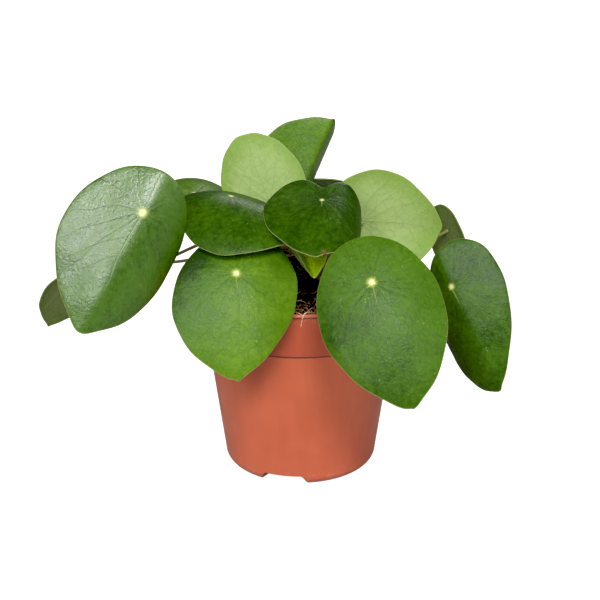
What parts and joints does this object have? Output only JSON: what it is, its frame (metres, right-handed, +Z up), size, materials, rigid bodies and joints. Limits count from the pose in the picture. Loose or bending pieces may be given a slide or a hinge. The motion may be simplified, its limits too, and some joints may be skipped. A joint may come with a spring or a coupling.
{
  "type": "potted pilea plant",
  "caption": "House plant with round glossy leaves on long thin stalks, growing from a short trunk in a tapered plastic nursery pot filled with peat.",
  "frame": {"origin": "on the surface that the pot stands on, below the middle of the whole plant's box", "axes": "+Z up along the pot's axis, -Y towards the front, which has the two leaves that hang over the pot's rim, +X to the right seen from the front"},
  "size_m": [0.2816, 0.2468, 0.2024],
  "materials": {
    "pot": "satin",
    "peat": "matte",
    "trunk": "matte",
    "bud": "satin",
    "leaf": "satin",
    "stalk": "satin"
  },
  "bodies": {
    "root": {"pot": "pot", "peat": "peat", "trunk": "trunk", "bud": "bud", "leaf_front_left": "leaf", "leaf_front_right": "leaf", "leaf_left": "leaf", "leaf_far_left": "leaf", "leaf_back_left": "leaf", "leaf_middle_left": "leaf", "leaf_upright_left": "leaf", "leaf_top": "leaf", "leaf_middle": "leaf", "leaf_young_front": "leaf", "leaf_upright_right": "leaf", "leaf_behind_right": "leaf", "leaf_right": "leaf", "leaf_back_middle": "leaf", "leaf_back_right": "leaf", "leaf_rear_far_left": "leaf", "leaf_rear_left": "leaf", "leaf_rear_middle": "leaf", "leaf_rear_right": "leaf", "stalk_front_left": "stalk", "stalk_front_right": "stalk", "stalk_left": "stalk", "stalk_far_left": "stalk", "stalk_back_left": "stalk", "stalk_middle_left": "stalk", "stalk_upright_left": "stalk", "stalk_top": "stalk", "stalk_middle": "stalk", "stalk_young_front": "stalk", "stalk_upright_right": "stalk", "stalk_behind_right": "stalk", "stalk_right": "stalk", "stalk_back_middle": "stalk", "stalk_back_right": "stalk", "stalk_rear_far_left": "stalk", "stalk_rear_left": "stalk", "stalk_rear_middle": "stalk", "stalk_rear_right": "stalk"}
  },
  "joints": []
}
